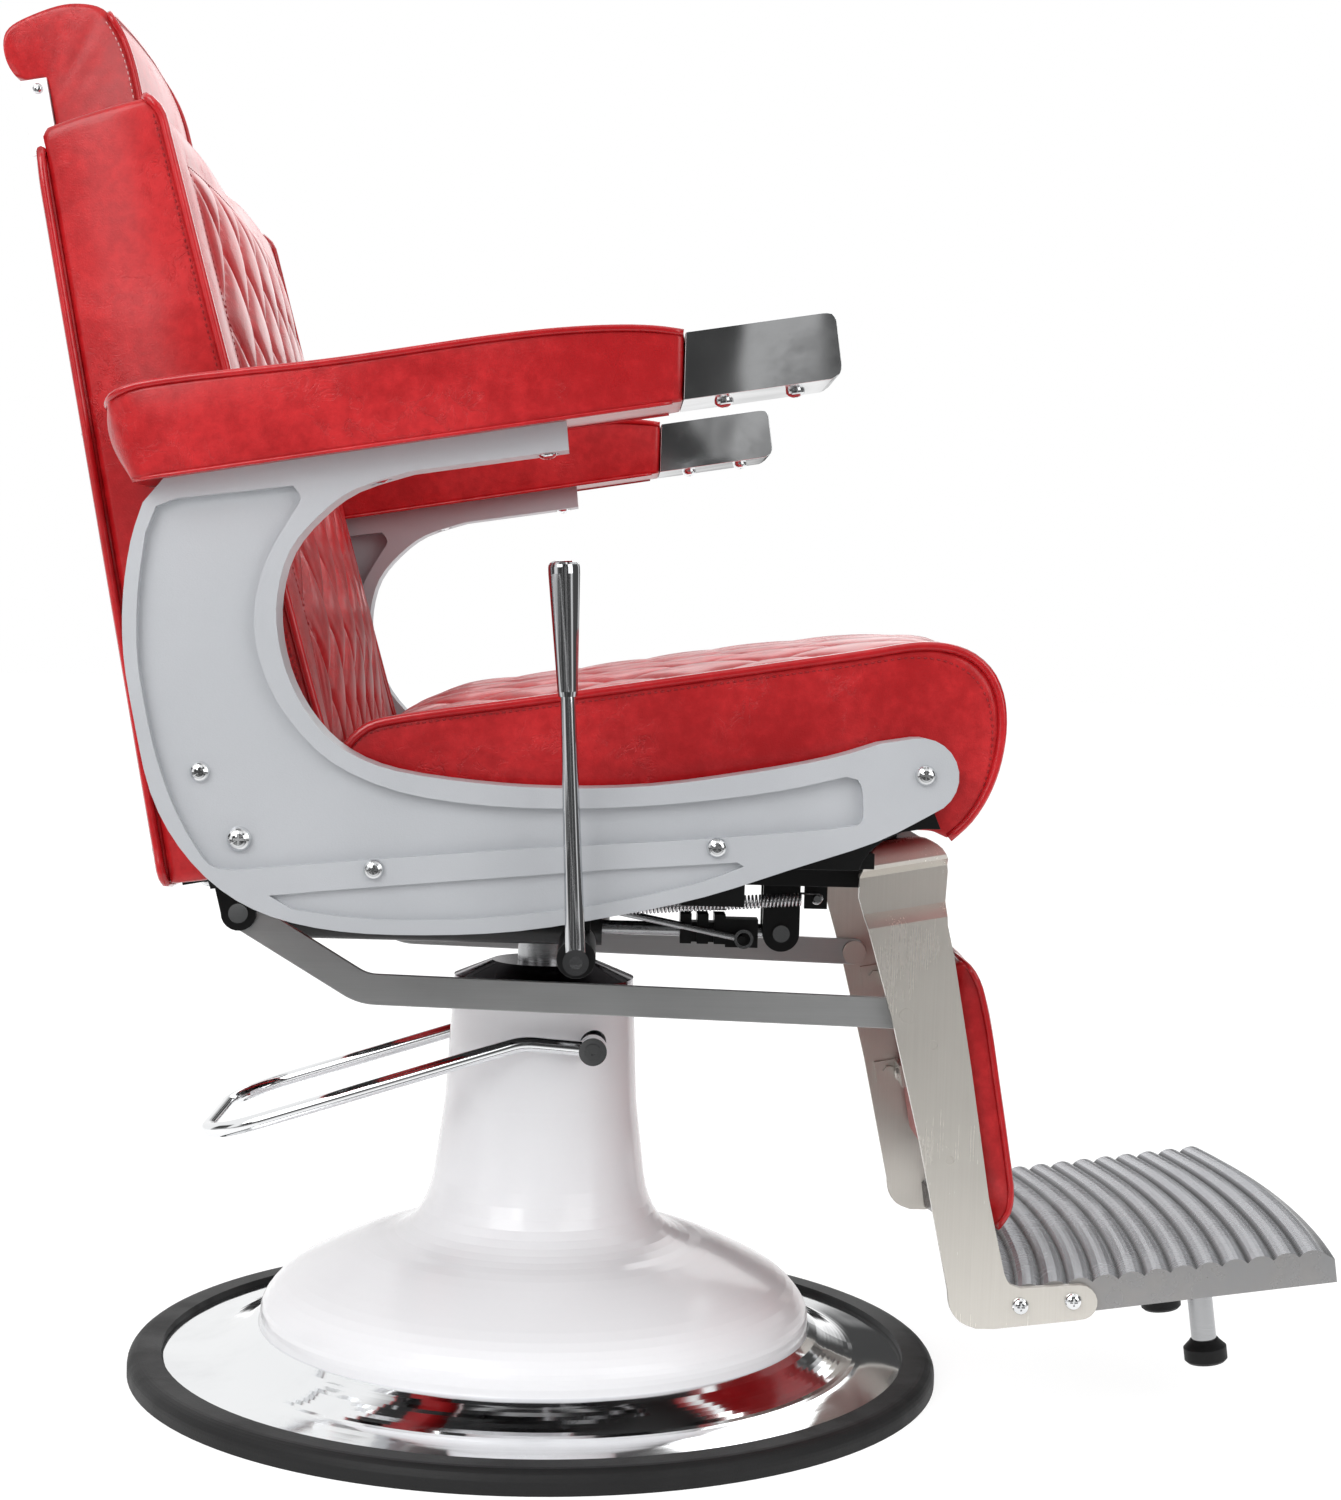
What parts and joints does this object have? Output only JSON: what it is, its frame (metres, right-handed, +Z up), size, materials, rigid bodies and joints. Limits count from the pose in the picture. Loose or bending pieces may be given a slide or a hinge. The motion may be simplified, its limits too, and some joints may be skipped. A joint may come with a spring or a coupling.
{
  "type": "barber chair",
  "caption": "Reclining barber chair with a hydraulic pump base, diamond-quilted cushions, cast side frames, adjustable headrest and linked leg rest with a ribbed footplate.",
  "frame": {"origin": "centre of the round base, on the floor", "axes": "+X towards the footplate, +Z up, +Y to the sitter's left; the recline lever is on the -Y side"},
  "size_m": [0.9575, 0.7026, 0.9775],
  "materials": {
    "base_rubber": "matt",
    "base_steel": "satin black paint",
    "polished_chrome": "mirror polished",
    "white_enamel": "high gloss enamel",
    "dark_chrome": "polished",
    "machined_steel": "machined",
    "black_enamel": "satin black powder coat",
    "plywood": "raw plywood",
    "red_vinyl": "glossy grained vinyl",
    "cast_grey": "satin grey lacquer on castings",
    "screw_steel": "plated",
    "link_steel": "satin",
    "leg_steel": "polished",
    "plate_alu": "cast, ribs brushed",
    "spring_steel": "bright wire",
    "feet_rubber": "matt"
  },
  "bodies": {
    "base": {"base_ring": "base_rubber", "base_plate": "base_steel", "base_disc": "polished_chrome", "pedestal_cover": "white_enamel", "column_cap": "dark_chrome", "pump_cylinder": "machined_steel", "base_bolts": "screw_steel"},
    "pump_arm": {"pump_shaft": "machined_steel", "pump_lever": "polished_chrome", "pump_screws": "screw_steel"},
    "plunger": {"pump_plunger": "machined_steel"},
    "lift": {"piston": "machined_steel"},
    "seat": {"swivel_hub": "black_enamel", "under_frame": "black_enamel", "seat_board": "plywood", "seat_cushion": "red_vinyl", "side_frame_right": "cast_grey", "side_frame_left": "cast_grey", "frame_screws": "screw_steel", "arm_board_right": "plywood", "arm_board_left": "plywood", "arm_pad_right": "red_vinyl", "arm_pad_left": "red_vinyl", "arm_cap_right": "polished_chrome", "arm_cap_left": "polished_chrome", "arm_screws": "screw_steel", "back_pivots": "screw_steel", "leg_pivots": "screw_steel", "lock_valve": "black_enamel", "lock_pins": "screw_steel", "lock_rod": "machined_steel", "return_spring": "spring_steel"},
    "strut": {"lock_cylinder": "black_enamel"},
    "release": {"release_rod": "machined_steel"},
    "lever": {"recline_lever": "polished_chrome", "lever_grip": "polished_chrome", "lever_shaft": "machined_steel"},
    "back": {"back_frame": "black_enamel", "back_board": "plywood", "back_cushion": "red_vinyl", "back_panel": "red_vinyl", "back_screws": "screw_steel", "headrest_guide": "leg_steel", "rear_link_pins": "screw_steel"},
    "headrest": {"headrest_bar": "white_enamel", "headrest_board": "plywood", "headrest_cushion": "red_vinyl", "headrest_screws": "screw_steel"},
    "leg_rest": {"leg_right": "leg_steel", "leg_left": "leg_steel", "footplate": "plate_alu", "footplate_screws": "screw_steel", "calf_board": "plywood", "calf_pad": "red_vinyl", "calf_brackets": "machined_steel", "bumper_posts": "machined_steel", "bumper_feet": "feet_rubber", "front_link_pins": "screw_steel"},
    "link_r": {"link_right": "link_steel"},
    "link_l": {"link_left": "link_steel"}
  },
  "joints": [
    {"name": "pump_stroke", "type": "hinge", "parent": "base", "child": "pump_arm", "pos_m": [0.038, 0, 0.25], "axis": [0, -1, 0], "range_deg": [0, 18], "stiffness_Nm_per_rad": 10, "springref_deg": -14.32},
    {"name": "plunger_stroke", "type": "slide", "parent": "base", "child": "plunger", "axis": [0, 0, 1], "range_m": [0, 0.005]},
    {"name": "lift_travel", "type": "slide", "parent": "base", "child": "lift", "axis": [0, 0, 1], "range_m": [0, 0.15]},
    {"name": "swivel", "type": "hinge", "parent": "lift", "child": "seat", "pos_m": [0, 0, 0.345], "axis": [0, 0, 1], "continuous": true},
    {"name": "recline", "type": "hinge", "parent": "seat", "child": "back", "pos_m": [-0.184, 0, 0.413], "axis": [0, -1, 0], "range_deg": [0, 45]},
    {"name": "leg_rest_swing", "type": "hinge", "parent": "seat", "child": "leg_rest", "pos_m": [0.245, 0, 0.388], "axis": [0, -1, 0], "range_deg": [0, 33]},
    {"name": "strut_travel", "type": "slide", "parent": "seat", "child": "strut", "axis": [1, 0, 0], "range_m": [0, 0.049]},
    {"name": "link_right_turn", "type": "hinge", "parent": "back", "child": "link_r", "pos_m": [-0.203, 0, 0.352], "axis": [0, -1, 0], "range_deg": [-44, 0]},
    {"name": "link_left_turn", "type": "hinge", "parent": "back", "child": "link_l", "pos_m": [-0.203, 0, 0.352], "axis": [0, -1, 0], "range_deg": [-44, 0]},
    {"name": "headrest_slide", "type": "slide", "parent": "back", "child": "headrest", "axis": [-0.1857, 0, 0.9826], "range_m": [0, 0.09]},
    {"name": "recline_release", "type": "hinge", "parent": "seat", "child": "lever", "pos_m": [0.026, 0, 0.347], "axis": [0, -1, 0], "range_deg": [0, 18], "stiffness_Nm_per_rad": 6, "springref_deg": -11.46, "deforming": ["return_spring"]},
    {"name": "release_pull", "type": "slide", "parent": "seat", "child": "release", "axis": [-1, 0, 0], "range_m": [0, 0.0031]}
  ],
  "couplings": [
    {"joint": "plunger_stroke", "follows": "pump_stroke", "m_per_rad": 0.0157},
    {"joint": "leg_rest_swing", "follows": "recline", "ratio": 0.7203},
    {"joint": "strut_travel", "follows": "recline", "m_per_rad": 0.062},
    {"joint": "link_right_turn", "follows": "recline", "ratio": -0.9616},
    {"joint": "link_left_turn", "follows": "recline", "ratio": -0.9616},
    {"joint": "release_pull", "follows": "recline_release", "m_per_rad": 0.0097}
  ]
}
